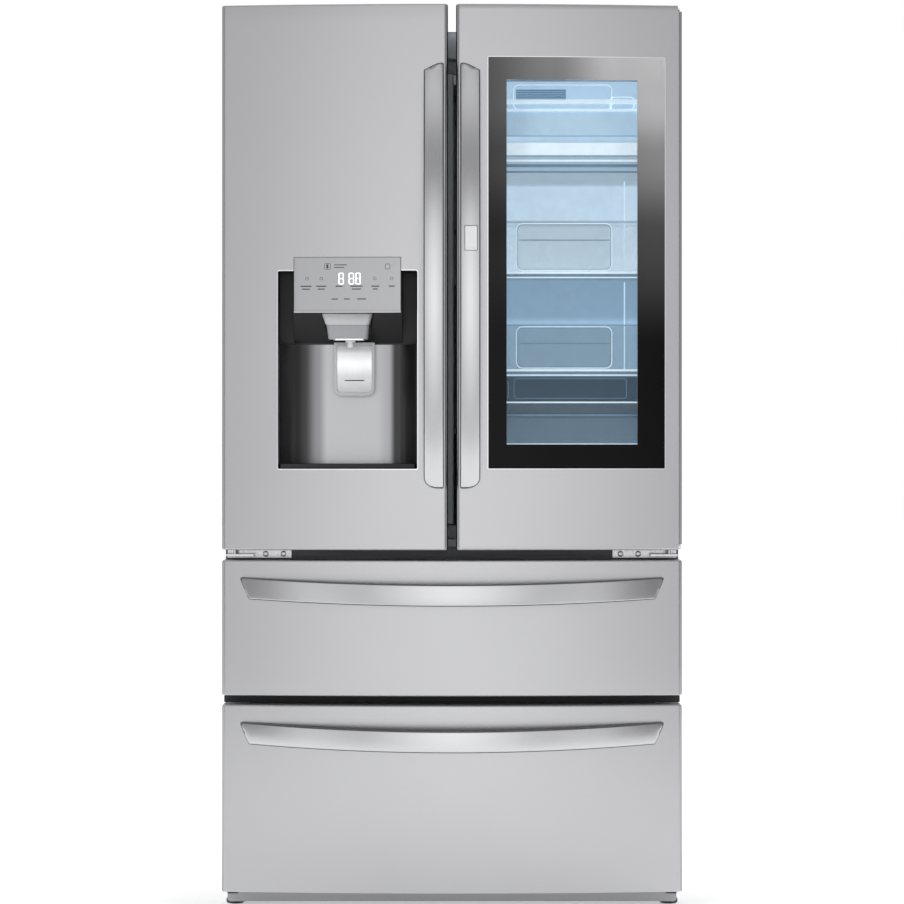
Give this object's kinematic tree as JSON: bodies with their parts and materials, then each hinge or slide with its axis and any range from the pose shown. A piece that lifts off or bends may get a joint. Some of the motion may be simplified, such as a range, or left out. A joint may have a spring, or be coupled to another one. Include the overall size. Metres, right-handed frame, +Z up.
{
  "type": "french door refrigerator",
  "caption": "Tall refrigerator with paired bowed doors, a glazed outer door, an ice and water dispenser, and stacked freezer drawers with bar handles.",
  "frame": {"origin": "on the floor under the middle of the bounding box", "axes": "+X to the right as seen from the front, +Y to the back, +Z up"},
  "size_m": [0.908, 0.921, 1.778],
  "materials": {
    "stainless": "vertically brushed",
    "case_grey": "textured satin",
    "zinc": "zinc plated satin",
    "white_plastic": "satin",
    "grey_plastic": "satin",
    "dark_plastic": "satin",
    "clear_plastic": "clear",
    "dark_glass": "mirror printed",
    "shelf_glass": "clear",
    "foam": "raw foam",
    "gasket": "matte",
    "black_steel": "satin black"
  },
  "bodies": {
    "cabinet": {"outer_case": "case_grey", "insulation": "foam", "fridge_liner": "white_plastic", "freezer_liner": "white_plastic", "cross_rail": "zinc", "drawer_rail": "zinc", "back_panel": "zinc", "cord_gland": "dark_plastic", "base_frame": "zinc", "base_grille": "case_grey", "compressor": "black_steel", "mid_hinge_left": "zinc", "mid_hinge_right": "zinc", "top_hinge_left": "zinc", "top_hinge_right": "zinc", "hinge_cover_left": "case_grey", "hinge_cover_right": "case_grey", "air_duct": "white_plastic", "shelf_upper": "shelf_glass", "shelf_lower": "shelf_glass", "drawer_slides": "zinc"},
    "fan": {"condenser_fan": "dark_plastic"},
    "left_foot": {"foot_left": "dark_plastic"},
    "right_foot": {"foot_right": "dark_plastic"},
    "left_roller": {"roller_left": "dark_plastic"},
    "right_roller": {"roller_right": "dark_plastic"},
    "left_crisper": {"crisper_left": "clear_plastic"},
    "right_crisper": {"crisper_right": "clear_plastic"},
    "left_door": {"left_door_skin": "stainless", "left_door_core": "white_plastic", "left_door_gasket": "gasket", "left_handle": "stainless", "dispenser_housing": "dark_plastic", "control_panel": "stainless", "ice_chute": "grey_plastic", "left_door_bin": "clear_plastic", "ice_bin": "clear_plastic"},
    "mullion": {"flipper_mullion": "grey_plastic"},
    "ice_room_door": {"ice_door": "white_plastic"},
    "paddle": {"dispenser_paddle": "white_plastic"},
    "drip_pan": {"drip_tray": "dark_plastic"},
    "right_door": {"right_door_frame": "white_plastic", "right_door_gasket": "gasket", "right_door_bin_top": "clear_plastic", "right_door_bin_upper": "clear_plastic", "right_door_bin_lower": "clear_plastic", "right_door_bin_bottom": "clear_plastic"},
    "showcase_door": {"showcase_skin": "stainless", "showcase_core": "grey_plastic", "showcase_glass": "dark_glass", "right_handle": "stainless"},
    "release_button": {"handle_button": "stainless"},
    "upper_drawer": {"upper_drawer_front": "stainless", "upper_drawer_gasket": "gasket", "upper_drawer_handle": "stainless", "upper_drawer_basket": "white_plastic"},
    "lower_drawer": {"lower_drawer_front": "stainless", "lower_drawer_gasket": "gasket", "lower_drawer_handle": "stainless", "lower_drawer_basket": "white_plastic"}
  },
  "joints": [
    {"name": "left_door_hinge", "type": "hinge", "parent": "cabinet", "child": "left_door", "pos_m": [-0.43, -0.326, 0.708], "axis": [0, 0, -1], "range_deg": [0, 105]},
    {"name": "mullion_fold", "type": "hinge", "parent": "left_door", "child": "mullion", "pos_m": [-0.034, -0.283, 1.205], "axis": [0, 0, 1], "range_deg": [0, 90]},
    {"name": "ice_door_hinge", "type": "hinge", "parent": "left_door", "child": "ice_room_door", "pos_m": [-0.39, -0.201, 1.475], "axis": [0, 0, 1], "range_deg": [0, 90]},
    {"name": "dispenser_paddle_pivot", "type": "hinge", "parent": "left_door", "child": "paddle", "pos_m": [-0.1925, -0.345, 1.116], "axis": [1, 0, 0], "range_deg": [0, 10], "stiffness_Nm_per_rad": 0.6},
    {"name": "drip_tray_slide", "type": "slide", "parent": "left_door", "child": "drip_pan", "axis": [0, -1, 0], "range_m": [0, 0.05]},
    {"name": "right_door_hinge", "type": "hinge", "parent": "cabinet", "child": "right_door", "pos_m": [0.43, -0.326, 0.708], "axis": [0, 0, 1], "range_deg": [0, 100]},
    {"name": "showcase_hinge", "type": "hinge", "parent": "right_door", "child": "showcase_door", "pos_m": [0.438, -0.362, 0.708], "axis": [0, 0, 1], "range_deg": [0, 100]},
    {"name": "release_button_press", "type": "slide", "parent": "showcase_door", "child": "release_button", "axis": [0, 1, 0], "range_m": [0, 0.003], "stiffness_N_per_m": 700},
    {"name": "upper_drawer_slide", "type": "slide", "parent": "cabinet", "child": "upper_drawer", "axis": [0, -1, 0], "range_m": [0, 0.4]},
    {"name": "lower_drawer_slide", "type": "slide", "parent": "cabinet", "child": "lower_drawer", "axis": [0, -1, 0], "range_m": [0, 0.4]},
    {"name": "crisper_left_slide", "type": "slide", "parent": "cabinet", "child": "left_crisper", "axis": [0, -1, 0], "range_m": [0, 0.028]},
    {"name": "crisper_right_slide", "type": "slide", "parent": "cabinet", "child": "right_crisper", "axis": [0, -1, 0], "range_m": [0, 0.028]},
    {"name": "condenser_fan_spin", "type": "hinge", "parent": "cabinet", "child": "fan", "pos_m": [0.015, 0.33, 0.15], "axis": [1, 0, 0], "continuous": true},
    {"name": "foot_left_screw", "type": "hinge", "parent": "cabinet", "child": "left_foot", "pos_m": [-0.433, -0.265, 0], "axis": [0, 0, 1], "continuous": true},
    {"name": "foot_right_screw", "type": "hinge", "parent": "cabinet", "child": "right_foot", "pos_m": [0.433, -0.265, 0], "axis": [0, 0, 1], "continuous": true},
    {"name": "roller_left_spin", "type": "hinge", "parent": "cabinet", "child": "left_roller", "pos_m": [-0.407, 0.4, 0.022], "axis": [1, 0, 0], "continuous": true},
    {"name": "roller_right_spin", "type": "hinge", "parent": "cabinet", "child": "right_roller", "pos_m": [0.407, 0.4, 0.022], "axis": [1, 0, 0], "continuous": true}
  ],
  "couplings": [
    {"joint": "mullion_fold", "follows": "left_door_hinge", "ratio": 0.85714}
  ]
}
